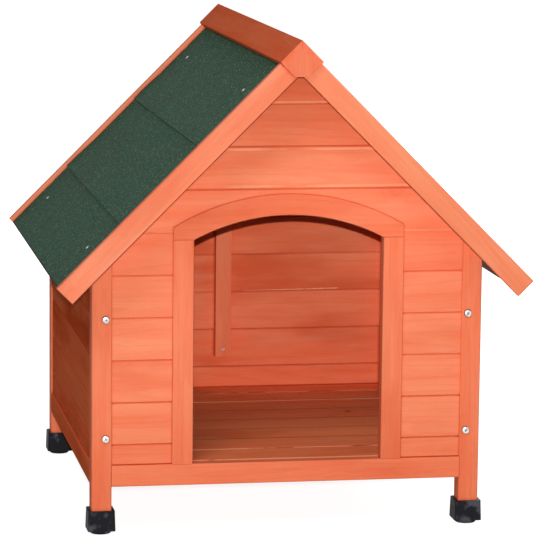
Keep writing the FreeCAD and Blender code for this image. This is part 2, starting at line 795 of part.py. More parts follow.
# ---- bargeboards, notched at the top for the ridge boards
ridge_foot = "(Sizes.ridge_width + (Sizes.felt_sink - Sizes.ridge_thick) * tan(Sizes.roof_pitch))"
for end, side_y in ends.items():
    outward = FreeCAD.Vector(0, side_y, 0)
    for hand, side in sides.items():
        notch = f"({ridge_foot} + Sizes.roof_play)"
        outline = [
            plumb_point(side, "Sizes.roof_play / 2", "Sizes.felt_sink"),
            slope_point(side, notch, "Sizes.felt_sink"),
            slope_point(side, notch, "0"),
            slope_point(side, slope_length, "0"),
            slope_point(side, slope_length, "Sizes.barge_width"),
            plumb_point(side, "Sizes.roof_play / 2", "Sizes.barge_width"),
        ]
        start = f"-{roof_end}"
        if side_y > 0:
            start = f"{roof_end} - Sizes.barge_thick"
        barge = prism(f"barge_{end}_{hand}", "XZ_Plane", polygon(outline), start,
                      "Sizes.barge_thick")
        nodes[f"bargeboard_{end}_{hand}"] = ease_face(barge, "Sizes.frame_arris", outward)

# ---- ridge capping: two boards, and a block at each end that covers the bargeboards' mitre
ridge_length = f"(2 * {roof_end} + 2 * Sizes.ridge_overhang)"
ridge_outer = "(Sizes.felt_sink - Sizes.ridge_thick)"
for hand, side in sides.items():
    edge = "Sizes.frame_arris"
    outline = [
        plumb_point(side, "Sizes.roof_play / 2", ridge_outer),
        slope_point(side, f"{ridge_foot} - {edge}", ridge_outer),
        slope_point(side, ridge_foot, f"{ridge_outer} + {edge}"),
        slope_point(side, ridge_foot, "Sizes.felt_sink"),
        plumb_point(side, "Sizes.roof_play / 2", "Sizes.felt_sink"),
    ]
    nodes[f"ridge_board_{hand}"] = prism(
        f"ridge_{hand}", "XZ_Plane", polygon(outline), f"-{ridge_length} / 2", ridge_length)

block_top = plumb_point(1, "0", "Sizes.felt_sink")
block_bottom = f"({block_top[1]} - Sizes.ridge_end_height)"
block_deep = f"(({apex} - {block_bottom}) / cos(Sizes.roof_pitch) - {ridge_foot} * tan(Sizes.roof_pitch))"
for end, side_y in ends.items():
    outline = [
        block_top,
        slope_point(1, ridge_foot, "Sizes.felt_sink"),
        slope_point(1, ridge_foot, block_deep),
        slope_point(-1, ridge_foot, block_deep),
        slope_point(-1, ridge_foot, "Sizes.felt_sink"),
    ]
    start = f"-{ridge_length} / 2" if side_y < 0 else roof_end
    nodes[f"ridge_end_{end}"] = prism(
        f"ridge_block_{end}", "XZ_Plane", polygon(outline), start, "Sizes.ridge_overhang")


# ---- fixings
def bolt(name):
    """Pan-head bolt along Z, with the underside of its head at the origin."""
    tip = "-(Sizes.post_size + Sizes.batten_width + Sizes.nut_height + Sizes.bolt_end)"
    rim = "Sizes.bolt_head_height"
    body = turned(name, [
        ("0", tip),
        ("Sizes.bolt_radius", tip),
        ("Sizes.bolt_radius", "0"),
        ("Sizes.bolt_head_radius", "0"),
        ("Sizes.bolt_head_radius", rim),
        ("0", rim),
    ])
    doc.recompute()
    top = body.Tip
    height = value(rim)
    rims = [index for index, edge in enumerate(top.Shape.Edges, start=1)
            if abs(edge.BoundBox.ZMin - height) < 1e-6 and edge.Closed]
    fillet = body.newObject("PartDesign::Fillet", name + "_dome")
    fillet.Base = (top, [f"Edge{index}" for index in rims])
    fillet.setExpression("Radius", "Sizes.bolt_head_height * 0.75")
    body.Tip = fillet
    return body


for end, side_y in ends.items():
    hardware = []
    for hand, side in sides.items():
        for index, height in enumerate(bolt_heights()):
            label = f"{end}_{hand}_{index}"
            x, face = corner_point(side, side_y, "Sizes.bolt_inset", "0")
            hardware.append(put(point_along_y(bolt(f"bolt_{label}"), side_y), (x, face, height)))
            nut = doc.addObject("Part::Prism", f"nut_blank_{label}")
            nut.Polygon = 6
            nut.setExpression("Circumradius", "Sizes.nut_radius")
            nut.setExpression("Height", "Sizes.nut_height")
            inner_face = corner_point(side, side_y, "0",
                                      "Sizes.post_size + Sizes.batten_width")[1]
            put(point_along_y(nut, -side_y), (x, inner_face, height))
            corner = f"{end}_{hand}"
            hardware.append(combine("Part::Cut", f"nut_{label}", nut, bores[corner]))
    nodes[f"bolts_{end}"] = group(f"bolt_set_{end}", hardware)

screws = []
for hand, side in sides.items():
    for end, side_y in ends.items():
        for row, along in screw_rows.items():
            screw = turned(f"screw_{hand}_{end}_{row}", [
                ("0", "Sizes.screw_play - Sizes.screw_length"),
                ("Sizes.screw_radius", "Sizes.screw_radius - Sizes.screw_length"),
                ("Sizes.screw_radius", "0"),
                ("Sizes.screw_head_radius", "0"),
                ("Sizes.screw_head_radius * 0.8", "Sizes.screw_head_height"),
                ("0", "Sizes.screw_head_height"),
            ])
            lean_on_slope(screw, side)
            x, z = slope_point(side, along, "Sizes.felt_sink")
            screws.append(put(screw, (x, f"({side_y}) * {screw_line}", z)))
nodes["roof_screws"] = group("screw_set", screws)


# ---- feet: a square plastic cap on each post, and a round disc screwed up into it
def leg_cap(name):
    """Cap standing on Z = 0: rounded square sleeve, wider at its foot, with a threaded floor."""
    half = "(Sizes.post_size / 2 + Sizes.cap_play + Sizes.cap_wall)"
    inside = "(Sizes.post_size / 2 + Sizes.cap_play)"
    body = prism(name, "XY_Plane", polygon(square(f"({half} + Sizes.cap_flare)")), "0",
                 "Sizes.cap_height")
    base = body.Tip
    base.setExpression("TaperAngle", "-atan(Sizes.cap_flare / Sizes.cap_height)")
    doc.recompute()
    uprights = [f"Edge{index}" for index, edge in enumerate(base.Shape.Edges, start=1)
                if edge.BoundBox.ZLength > value("Sizes.cap_height") / 2]
    fillet = body.newObject("PartDesign::Fillet", name + "_corners")
    fillet.Base = (base, uprights)
    fillet.setExpression("Radius", "Sizes.cap_corner")
    socket = body.newObject("PartDesign::Pocket", name + "_socket")
    socket.Profile = add_sketch(body, name + "_socket_outline", "XY_Plane",
                                polygon(square(inside)))
    socket.Profile[0].setExpression("AttachmentOffset.Base.z", "Sizes.cap_height")
    socket.setExpression("Length", "Sizes.cap_height - Sizes.cap_floor")
    thread = body.newObject("PartDesign::Pocket", name + "_thread")
    thread.Profile = add_sketch(body, name + "_thread_outline", "XY_Plane",
                                disc("Sizes.stem_radius + Sizes.stem_play"))
    thread.Reversed = True
    thread.setExpression("Length", "Sizes.cap_floor")
    body.Tip = thread
    return body


def square(half):
    return [(f"-{half}", f"-{half}"), (half, f"-{half}"), (half, half), (f"-{half}", half)]


for corner, (side_x, side_y) in corners.items():
    x, y = post_centre(side_x, side_y)
    nodes[f"leg_cap_{corner}"] = put(leg_cap(f"cap_{corner}"), (x, y, cap_bottom))
    rim = "Sizes.disc_edge"
    foot = turned(f"disc_{corner}", [
        ("0", "0"),
        (f"Sizes.disc_radius - {rim}", "0"),
        ("Sizes.disc_radius", rim),
        ("Sizes.disc_radius", f"Sizes.disc_height - {rim}"),
        (f"Sizes.disc_radius - {rim}", "Sizes.disc_height"),
        ("Sizes.stem_radius", "Sizes.disc_height"),
        ("Sizes.stem_radius", "Sizes.disc_height + Sizes.stem_length - Sizes.stem_radius / 4"),
        ("Sizes.stem_radius * 3 / 4", "Sizes.disc_height + Sizes.stem_length"),
        ("0", "Sizes.disc_height + Sizes.stem_length"),
    ])
    nodes[f"foot_disc_{corner}"] = put(foot, (x, y, "0"))

doc.recompute()
for item in doc.Objects:
    if "Invalid" in item.State or "Error" in item.State:
        raise RuntimeError(f"{item.Name} failed: {item.State}")
for name, item in nodes.items():
    if item.Shape.isNull() or not item.Shape.isValid():
        raise RuntimeError(f"{name} has no sound shape")
for name, item in nodes.items():
    item.Label = name
    item.Shape.exportStep(f"parts/{name}.step")
print(len(nodes), "sub-parts written")
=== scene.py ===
import math

import bmesh
import bpy
from mathutils import Matrix, Vector


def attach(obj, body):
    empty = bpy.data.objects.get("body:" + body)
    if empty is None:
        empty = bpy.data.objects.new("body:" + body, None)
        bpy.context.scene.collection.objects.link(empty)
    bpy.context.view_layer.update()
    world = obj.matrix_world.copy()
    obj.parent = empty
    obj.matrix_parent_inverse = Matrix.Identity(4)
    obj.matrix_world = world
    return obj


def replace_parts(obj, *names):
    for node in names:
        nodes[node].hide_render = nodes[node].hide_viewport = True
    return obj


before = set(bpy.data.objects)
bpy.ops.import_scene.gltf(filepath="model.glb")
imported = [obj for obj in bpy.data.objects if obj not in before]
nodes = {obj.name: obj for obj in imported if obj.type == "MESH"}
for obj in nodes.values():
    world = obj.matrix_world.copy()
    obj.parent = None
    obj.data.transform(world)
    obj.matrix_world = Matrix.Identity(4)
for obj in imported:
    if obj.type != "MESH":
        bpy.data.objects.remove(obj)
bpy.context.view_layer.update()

axisX, axisY, axisZ = range(3)
quarter = math.pi / 2
eighth = math.pi / 4
hair = 0.0005  # a test plane lies this far past the face that it is for


def span(name):  # lowest and highest corner of a piece of the frame
    corners = [nodes[name].matrix_world @ vertex.co for vertex in nodes[name].data.vertices]
    low = [round(min(corner[axis] for corner in corners), 5) for axis in range(3)]
    high = [round(max(corner[axis] for corner in corners), 5) for axis in range(3)]
    return low, high


print("frame loaded:", len(nodes), "nodes")


# small helpers for materials
def linear(red, green, blue):  # display values of 0 to 255 to linear ones
    def channel(value):
        value /= 255
        return value / 12.92 if value <= 0.04045 else ((value + 0.055) / 1.055) ** 2.4
    return (channel(red), channel(green), channel(blue), 1.0)


def add(tree, kind, inputs=None, **settings):  # inputs are constants, or sockets to link from
    made = tree.nodes.new(kind)
    for name, value in settings.items():
        setattr(made, name, value)
    for name, value in (inputs or {}).items():
        if isinstance(value, bpy.types.NodeSocket):
            tree.links.new(value, made.inputs[name])
        else:
            made.inputs[name].default_value = value
    return made


def maths(tree, operation, first, second=0.0, third=0.0):
    return add(tree, "ShaderNodeMath", {0: first, 1: second, 2: third},
               operation=operation).outputs[0]


def product(tree, first, *others):
    for other in others:
        first = maths(tree, "MULTIPLY", first, other)
    return first


def component(tree, vector, axis):
    return add(tree, "ShaderNodeSeparateXYZ", {0: vector}).outputs[axis]


def distanceFrom(tree, value, middle):
    return maths(tree, "ABSOLUTE", maths(tree, "SUBTRACT", value, middle))


def blendColour(tree, amount, first, second, mode="MIX"):
    return add(tree, "ShaderNodeMix", {0: amount, 6: first, 7: second},
               data_type="RGBA", blend_type=mode).outputs[2]


def tintBy(tree, colour, tint, share=1.0):
    return blendColour(tree, share, colour, tint, "MULTIPLY")


def scaleBy(tree, colour, level):
    return add(tree, "ShaderNodeVectorMath", {0: colour, "Scale": level},
               operation="SCALE").outputs[0]


def rangeOf(tree, value, low, high, outLow=0.0, outHigh=1.0):  # smooth step
    return add(tree, "ShaderNodeMapRange",
               {"Value": value, "From Min": low, "From Max": high,
                "To Min": outLow, "To Max": outHigh},
               interpolation_type="SMOOTHSTEP").outputs["Result"]


def noise(tree, vector, scale, detail, rough=0.5):
    return add(tree, "ShaderNodeTexNoise",
               {"Vector": vector, "Scale": scale, "Detail": detail,
                "Roughness": rough}).outputs["Fac"]


def openness(tree, reach, **settings):  # 1 in the open, less in corners within reach
    return add(tree, "ShaderNodeAmbientOcclusion", {"Distance": reach},
               samples=8, **settings).outputs["AO"]


def newMaterial(name):
    material = bpy.data.materials.new(name)
    material.use_nodes = True
    tree = material.node_tree
    tree.nodes.clear()
    shader = tree.nodes.new("ShaderNodeBsdfPrincipled")
    output = tree.nodes.new("ShaderNodeOutputMaterial")
    tree.links.new(shader.outputs[0], output.inputs[0])
    return material, tree, shader


def objectPlace(tree):
    return add(tree, "ShaderNodeTexCoord").outputs["Object"]


def bumpInto(tree, shader, height, distance, strength):
    bump = add(tree, "ShaderNodeBump",
               {"Height": height, "Distance": distance, "Strength": strength})
    tree.links.new(bump.outputs[0], shader.inputs["Normal"])


# stained softwood: its colours, and the noise that places them
stain = {
    "light": linear(252, 149, 111),
    "body": linear(249, 135, 96),
    "deep": linear(224, 101, 62),
    "knot": linear(150, 58, 32),
    "bloom": linear(240, 168, 142),  # where the stain took thinly
    "bareAndHighlight": linear(250, 174, 132),  # bare wood along the back wall's split, and the painted highlight colour on lit bevels of the listed joints
    "darkBoard": (0.995, 0.91, 0.89, 1),
    "paleBoard": (1.01, 1.03, 1.03, 1),
    "blotch": (0.995, 0.925, 0.90, 1),
    "blotchRange": (0.34, 0.66),
    "streak": 0.45,
    "streakRange": (0.30, 0.70),
    "patchRange": (0.56, 0.82),
    "patchWiden": (0.06, 0.08),  # how far bolder stains lower that range
    "thinRange": (0.52, 0.72),
    "thinStreak": (0.40, 0.60),
    "rings": 0.12,
    "ringCount": 12.0,
    "ringRange": (0.55, 0.97),
    "pores": 0.09,
    "poreRange": (0.62, 0.74),
    "insideShade": (0.20, 0.16, 0.15, 1),  # painted shade: a darker tint on the cabin's inner faces, standing in for the shade inside it
    # painted shade for the undersides of the roof's overhang
    "eaveShade": (0.12, 0.14, 0.16, 1),
    "downward": -0.3,
    "endGrain": (0.87, 1.02, 1.20, 1),
    "endwise": 0.9,
    "roughness": (0.54, 0.68),
    "fibreRange": (0.3, 0.7),
    "fibreLevel": (0.97, 1.03),
    "relief": 0.0004,
    "reliefStrength": 0.6,
}
knotLook = {
    "spacing": 0.21, "radius": 0.007, "core": 0.45, "swirl": 4.5,  # core and swirl in radii
    "push": 0.22, "swirlStain": 0.25, "stain": 0.80,
}
jointLook = {
    "pooledAndShade": (0.66, 0.40, 0.30, 1),  # what pooled stain, and painted shade in corners and where parts meet, leave of the colour
    "reach": 0.0052, "range": (0.97, 0.45), "toneRange": (0.0, 0.75), "strength": (1.0, 0.45),
    # painted light on edges: highlight half-widths on walls and floor, where it breaks and how
    # pale it is; on the floor, how much of each board's edge is painted, shade on plain edges and
    # grey on highlit ones
    "wallHighlight": 0.0018, "floorHighlight": 0.012, "wornRange": (0.36, 0.50), "highlight": 0.6,
    "edgeShare": 0.04, "edgeHighlight": 0.4,
    "edgeShade": (0.36, 0.25, 0.19, 1), "highlightGrey": (0.70, 0.70, 0.70, 1),
}
grainFigure = {
    "broad": {"along": 1.1, "across": 15.0, "detail": 2.0},
    "streak": {"along": 2.2, "across": 46.0, "detail": 5.0, "rough": 0.6, "lift": 4.0},
    "patch": {"along": 2.6, "across": 9.0, "detail": 3.0, "rough": 0.55, "lift": 9.0},
    "fibre": {"along": 26.0, "across": 1100.0, "detail": 2.0, "lift": 2.0},
    "pore": {"along": 75.0, "across": 520.0, "detail": 1.0, "rough": 0.4, "lift": 6.0},
    "thin": {"along": 5.0, "across": 26.0, "detail": 2.0, "lift": 14.0},
    "blotch": {"along": 15.0, "across": 36.0, "detail": 4.0, "rough": 0.6, "lift": 17.0},
    "highlightMask": {"along": 14.0, "across": 3.0, "detail": 3.0, "rough": 0.6, "lift": 21.0},
    "ragged": {"along": 55.0, "across": 3.0, "detail": 3.0, "rough": 0.6, "lift": 30.0},
}
boardShift = (3.71, 1.37, 0.83)  # how far apart the boards of a wall lie in that noise

# how each kind of timber differs from that stain, as shares of its red, green and blue; side,
# ridge, inner and deck are painted shade: more saturated, mostly darker copies for faces that lie
# in shade
timbers = {
    "wall": {"tint": (1.01, 1.03, 1.03, 1), "gloss": 0.04, "bloom": 0.10},
    "frame": {"tint": (0.97, 0.88, 0.83, 1), "gloss": 0.04, "bloom": 0.15},
    "rail": {"tint": (1.02, 0.96, 0.93, 1), "gloss": 0.04, "bloom": 0.15},
    "leftBarge": {"tint": (0.98, 1.04, 1.10, 1), "gloss": 0.04, "bloom": 0.55},
    "rightBarge": {"tint": (0.97, 1.02, 1.00, 1), "gloss": 0.04, "bloom": 0.40},
    "side": {"tint": (1.04, 0.80, 0.59, 1), "gloss": 0.0, "bloom": 0.05},
    "ridge": {"tint": (1.04, 0.74, 0.59, 1), "gloss": 0.0, "bloom": 0.03},
    "crown": {"tint": (0.90, 0.79, 0.78, 1), "gloss": 0.02, "bloom": 0.10},
    "inner": {"tint": (0.99, 0.865, 0.81, 1), "gloss": 0.04, "bloom": 0.45},
    "deck": {"tint": (1.06, 1.0, 0.76, 1), "gloss": 0.30, "bloom": 0.20},
}
# heights between which the wood darkens towards the ground and under the gable's peak
heightDarkening = {
    "lowFull": 0.07, "lowFade": 0.24, "low": (0.92, 0.85, 0.81, 1),
    "highFade": 0.50, "peak": 0.70, "high": (0.64, 0.55, 0.46, 1),
}
# a split along a joint of the back wall that left a pale line
tornLine = {
    "from": 0.030, "to": 0.192, "height": 0.2671, "rise": 0.0156, "half": 0.0011,
    "range": (0.20, 0.50), "share": 0.8,
}
# a joint's height or place, and the pitch of the boards from there on
boarding = {
    "pitch": 0.0635, "frontJoint": 0.1347, "backJoint": 0.1396,
    "deckPitch": 0.0733, "roofPitch": 0.0449,
    "highlitFront": ((5, 0.0), (6, 0.0042), (7, -0.004), (8, 0.0016)),  # joint with a painted highlight, and how far above it
    # floor joints with a painted highlight on their edges
    "highlitDeck": (0, 1, 6, 7),
}
wallPlane = span("post_front_right")[1][axisX] + hair
insideBox = {
    "halfWidth": span("side_boards_right")[0][axisX] + hair,
    "halfDepth": span("back_boards")[0][axisY] + hair,
    "floor": span("floor_boards")[1][axisZ] - hair,
}


def alongBoards(tree, place, axis, start, pitch):  # place across a wall's boards, in boards
    return maths(tree, "DIVIDE", maths(tree, "SUBTRACT", component(tree, place, axis), start),
                 pitch)


def perBoard(tree, place, boards):  # a number and two random tones for each board
    if not boards:
        return 0.0, 0.5, 0.5
    number = maths(tree, "FLOOR", alongBoards(tree, place, *boards))
    drawn = add(tree, "ShaderNodeTexWhiteNoise", {"W": number}, noise_dimensions="1D")
    green = add(tree, "ShaderNodeSeparateColor", {0: drawn.outputs["Color"]}).outputs[1]
    return number, drawn.outputs["Value"], green


def insideShare(tree, place):  # 1 on faces that bound the cabin
    across = maths(tree, "ABSOLUTE", component(tree, place, axisX))
    along = maths(tree, "ABSOLUTE", component(tree, place, axisY))
    return product(tree, maths(tree, "LESS_THAN", across, insideBox["halfWidth"]),
                   maths(tree, "LESS_THAN", along, insideBox["halfDepth"]),
                   maths(tree, "GREATER_THAN", component(tree, place, axisZ), insideBox["floor"]))


def grainPlace(tree, place, turn, number):  # the grain along X, and other wood for each board
    aligned = add(tree, "ShaderNodeMapping", {"Vector": place, "Rotation": turn}).outputs[0]
    shift = add(tree, "ShaderNodeCombineXYZ",
                {axis: product(tree, number, step)
                 for axis, step in enumerate(boardShift)}).outputs[0]
    return add(tree, "ShaderNodeVectorMath", {0: aligned, 1: shift}, operation="ADD").outputs[0]


def grainNoise(tree, grain, along, across, detail, rough=0.5, lift=0.0):
    scaled = add(tree, "ShaderNodeMapping",
                 {"Vector": grain, "Scale": (along, across, across), "Location": (lift, 0, 0)})
    return noise(tree, scaled.outputs[0], 1.0, detail, rough)


def knots(tree, grain):  # knots, and the grain that swirls round them
    spacing, radius = knotLook["spacing"], knotLook["radius"]
    cells = add(tree, "ShaderNodeMapping", {"Vector": grain, "Scale": [1 / spacing] * 3})
    cell = add(tree, "ShaderNodeTexVoronoi", {"Vector": cells.outputs[0], "Scale": 1.0})
    reach = product(tree, cell.outputs["Distance"], spacing)
    return (rangeOf(tree, reach, radius, radius * knotLook["core"]),
            rangeOf(tree, reach, radius * knotLook["swirl"], 0.0))


def growthRings(tree, grain, swirl):
    broad = grainNoise(tree, grain, **grainFigure["broad"])
    flow = maths(tree, "ADD", broad, product(tree, swirl, knotLook["push"]))
    bands = maths(tree, "FRACT", product(tree, flow, stain["ringCount"]))
    return rangeOf(tree, bands, *stain["ringRange"])


def figuredWood(tree, grain, streak, bloom, stains):  # the stain over the figure, and the rings
    def layer(colour, amount, share, other):
        return blendColour(tree, product(tree, amount, share), colour, other)

    knot, swirl = knots(tree, grain)
    ring = growthRings(tree, grain, swirl)
    patchRange = [edge - widen * stains
                  for edge, widen in zip(stain["patchRange"], stain["patchWiden"])]
    patch = rangeOf(tree, grainNoise(tree, grain, **grainFigure["patch"]), *patchRange)
    thin = product(tree, rangeOf(tree, grainNoise(tree, grain, **grainFigure["thin"]),
                                 *stain["thinRange"]),
                   rangeOf(tree, streak, *stain["thinStreak"]))
    pore = rangeOf(tree, grainNoise(tree, grain, **grainFigure["pore"]), *stain["poreRange"])
    colour = blendColour(tree, rangeOf(tree, streak, *stain["streakRange"]),
                         stain["light"], stain["body"])
    colour = layer(colour, patch, stain["streak"] * stains, stain["deep"])
    colour = layer(colour, thin, bloom * stains ** 2, stain["bloom"])
    colour = layer(colour, ring, stain["rings"], stain["deep"])
    colour = layer(colour, pore, stain["pores"], stain["deep"])
    colour = layer(colour, swirl, knotLook["swirlStain"], stain["deep"])
    return layer(colour, knot, knotLook["stain"], stain["knot"]), ring


def darkenByHeight(tree, colour, place, part):  # darker near the ground, and under the gable's peak
    height = component(tree, place, axisZ)
    if part != "floor":
        colour = tintBy(tree, colour, heightDarkening["low"],
                        rangeOf(tree, height, heightDarkening["lowFade"], heightDarkening["lowFull"]))
    if part == "gable":
        colour = tintBy(tree, colour, heightDarkening["high"],
                        rangeOf(tree, height, heightDarkening["highFade"], heightDarkening["peak"]))
    return colour


def shadeUnderEaves(tree, colour, place, normal):  # painted shade: downward faces of the roof's boards, where they hang over the walls, darkened as if in shadow
    across = maths(tree, "ABSOLUTE", component(tree, place, axisX))
    under = product(tree, maths(tree, "LESS_THAN", component(tree, normal, axisZ),
                                stain["downward"]),
                    maths(tree, "GREATER_THAN", across, wallPlane))
    return tintBy(tree, colour, stain["eaveShade"], under)


def endGrain(tree, colour, normal, turn):
    turned = add(tree, "ShaderNodeMapping", {"Vector": normal, "Rotation": turn}).outputs[0]
    endwise = maths(tree, "ABSOLUTE", component(tree, turned, axisX))
    return tintBy(tree, colour, stain["endGrain"],
                  maths(tree, "GREATER_THAN", endwise, stain["endwise"]))


def highlightStrips(tree, place, grain, axis, spots, reach):  # painted highlight: 1 in broken strips along the listed joints, where a lit bevel shows pale
    near = 0.0
    for spot in spots:
        off = distanceFrom(tree, component(tree, place, axis), spot)
        near = maths(tree, "MAXIMUM", maths(tree, "LESS_THAN", off, reach), near)
    return product(tree, near, rangeOf(tree, grainNoise(tree, grain, **grainFigure["highlightMask"]),
                                       *jointLook["wornRange"]))


def edgeHighlightAndShade(tree, colour, place, boards, highlightMask):  # painted shade on the floor boards' front edges, and a painted highlight on the edges of the listed joints
    fromEdge = maths(tree, "FRACT", alongBoards(tree, place, *boards))
    edge = maths(tree, "LESS_THAN", fromEdge, jointLook["edgeShare"])
    highlight = blendColour(tree, jointLook["edgeHighlight"], colour, stain["bareAndHighlight"])
    highlight = tintBy(tree, highlight, jointLook["highlightGrey"])
    shaded = tintBy(tree, colour, jointLook["edgeShade"])
    return blendColour(tree, edge, colour, blendColour(tree, highlightMask, shaded, highlight))


def splitLine(tree, colour, place, grain):
    across = component(tree, place, axisX)
    line = maths(tree, "MULTIPLY_ADD", across, tornLine["rise"], tornLine["height"])
    off = distanceFrom(tree, component(tree, place, axisZ), line)
    ragged = grainNoise(tree, grain, **grainFigure["ragged"])
    half = rangeOf(tree, ragged, *tornLine["range"], 0.0, tornLine["half"])
    share = product(tree, maths(tree, "GREATER_THAN", across, tornLine["from"]),
                    maths(tree, "LESS_THAN", across, tornLine["to"]), insideShare(tree, place),
                    maths(tree, "LESS_THAN", off, half), tornLine["share"])
    return blendColour(tree, share, colour, stain["bareAndHighlight"])


# stain that pooled in the joints, with painted shade in every corner within reach (against the
# frame, round the bolt heads, where parts meet), and a painted highlight along lit bevels of the
# listed joints
def jointed(tree, colour, place, grain, boards, worn, jointTone, part):
    pooledAndShade = product(tree, rangeOf(tree, openness(tree, jointLook["reach"]), *jointLook["range"]),
                     rangeOf(tree, jointTone, *jointLook["toneRange"], *jointLook["strength"]))
    edge = tintBy(tree, colour, jointLook["pooledAndShade"])
    if not worn:
        return blendColour(tree, pooledAndShade, colour, edge)
    highlight = blendColour(tree, jointLook["highlight"], colour, stain["bareAndHighlight"])
    reach = jointLook["floorHighlight"] if part == "floor" else jointLook["wallHighlight"]
    highlightMask = highlightStrips(tree, place, grain, boards[0], worn, reach)
    if part == "floor":
        edge = blendColour(tree, highlightMask, edge, highlight)
        colour = blendColour(tree, pooledAndShade, colour, edge)
        return edgeHighlightAndShade(tree, colour, place, boards, highlightMask)
    return blendColour(tree, highlightMask, blendColour(tree, pooledAndShade, colour, edge), highlight)


# turn brings the grain onto X, boards is (axis, start, pitch), worn lists the joints that get a
# painted highlight along a lit bevel, insideShade is the painted-shade tint on faces inside the
# cabin, stains makes bolder patches, and part names what only that wall or floor has
def woodMaterial(name, timber="wall", turn=(0, 0, 0), boards=None, worn=(), insideShade=None,
                 stains=1.0, part=None):
    material, tree, shader = newMaterial(name)
    place = objectPlace(tree)
    number, boardTone, jointTone = perBoard(tree, place, boards)
    grain = grainPlace(tree, place, turn, number)
    streak = grainNoise(tree, grain, **grainFigure["streak"])
    fibre = grainNoise(tree, grain, **grainFigure["fibre"])
    kind = timbers[timber]

    colour, ring = figuredWood(tree, grain, streak, kind["bloom"], stains)
    colour = tintBy(tree, colour, kind["tint"])
    colour = darkenByHeight(tree, colour, place, part)
    if boards:
        colour = tintBy(tree, colour,
                        blendColour(tree, boardTone, stain["darkBoard"], stain["paleBoard"]))
    blotch = grainNoise(tree, grain, **grainFigure["blotch"])
    colour = tintBy(tree, colour, stain["blotch"], rangeOf(tree, blotch, *stain["blotchRange"]))
    # painted shade: faces inside the cabin take the darker inside tint
    if insideShade:
        colour = tintBy(tree, colour, insideShade, insideShare(tree, place))
    normal = add(tree, "ShaderNodeNewGeometry").outputs["True Normal"]
    if part == "roof":
        colour = shadeUnderEaves(tree, colour, place, normal)
    colour = endGrain(tree, colour, normal, turn)
    colour = scaleBy(tree, colour, rangeOf(tree, fibre, *stain["fibreRange"],
                                           *stain["fibreLevel"]))
    colour = jointed(tree, colour, place, grain, boards, worn, jointTone, part)
    if part == "back":
        colour = splitLine(tree, colour, place, grain)
    tree.links.new(colour, shader.inputs["Base Color"])

    rough = rangeOf(tree, streak, *stain["streakRange"], *stain["roughness"])
    tree.links.new(rough, shader.inputs["Roughness"])
    shader.inputs["Specular IOR Level"].default_value = kind["gloss"]
    relief = maths(tree, "ADD", product(tree, fibre, 0.5), product(tree, ring, -0.5))
    bumpInto(tree, shader, relief, stain["relief"], stain["reliefStrength"])
    return material


upright = (0, quarter, 0)
deepwise = (0, 0, quarter)
frontBoards = (axisZ, boarding["frontJoint"], boarding["pitch"])
backBoards = (axisZ, boarding["backJoint"], boarding["pitch"])
deckBoards = (axisY, span("floor_boards")[0][axisY], boarding["deckPitch"])
roofBoards = (axisX, 0.0, boarding["roofPitch"])
woods = {
    "posts": woodMaterial("timberPosts", "frame", upright),
    "across": woodMaterial("timberAcross", "frame"),
    "railAcross": woodMaterial("timberRailAcross", "rail"),
    "railDeep": woodMaterial("timberRailDeep", "side", deepwise),
    "innerUpright": woodMaterial("timberInnerUpright", "inner", upright),
    "innerDeep": woodMaterial("timberInnerDeep", "inner", deepwise),
    "ridge": woodMaterial("timberRidge", "ridge", deepwise),
    "crown": woodMaterial("timberCrown", "crown", upright),
    "leftBarge": woodMaterial("timberLeftBarge", "leftBarge", (0, eighth, 0)),
    "rightBarge": woodMaterial("timberRightBarge", "rightBarge", (0, -eighth, 0)),
    "frontWall": woodMaterial("timberFrontWall", boards=frontBoards, insideShade=stain["insideShade"],
                              part="gable",
                              worn=[frontBoards[1] + frontBoards[2] * step + above
                                    for step, above in boarding["highlitFront"]]),
    "backWall": woodMaterial("timberBackWall", boards=backBoards,
                             insideShade=timbers["inner"]["tint"], stains=1.9, part="back"),
    "sideWall": woodMaterial("timberSideWall", "side", deepwise, boards=frontBoards,
                             insideShade=stain["insideShade"], stains=2.2),
    "floor": woodMaterial("timberFloor", "deck", boards=deckBoards, stains=1.5, part="floor",
                          worn=[deckBoards[1] + deckBoards[2] * step
                                for step in boarding["highlitDeck"]]),
    "roof": woodMaterial("timberRoof", "wall", deepwise, boards=roofBoards,
                         insideShade=stain["insideShade"], part="roof"),
}
woodOf = {
    "post_": "posts", "door_stile": "posts", "wall_batten": "innerUpright",
    "back_wall_batten": "innerUpright", "rail_front": "railAcross", "rail_back": "railAcross",
    "rail_left": "railDeep", "rail_right": "railDeep", "door_header": "across",
    "ridge_end": "crown", "ridge_board": "ridge", "front_boards": "frontWall",
    "back_boards": "backWall", "side_boards": "sideWall", "floor_boards": "floor",
    "floor_ledge": "innerDeep", "floor_bearer": "innerDeep", "roof_boards": "roof",
}
for end in ("front", "back"):
    for hand in ("left", "right"):
        for piece in ("bargeboard", "gable_rafter"):
            woodOf[f"{piece}_{end}_{hand}"] = hand + "Barge"

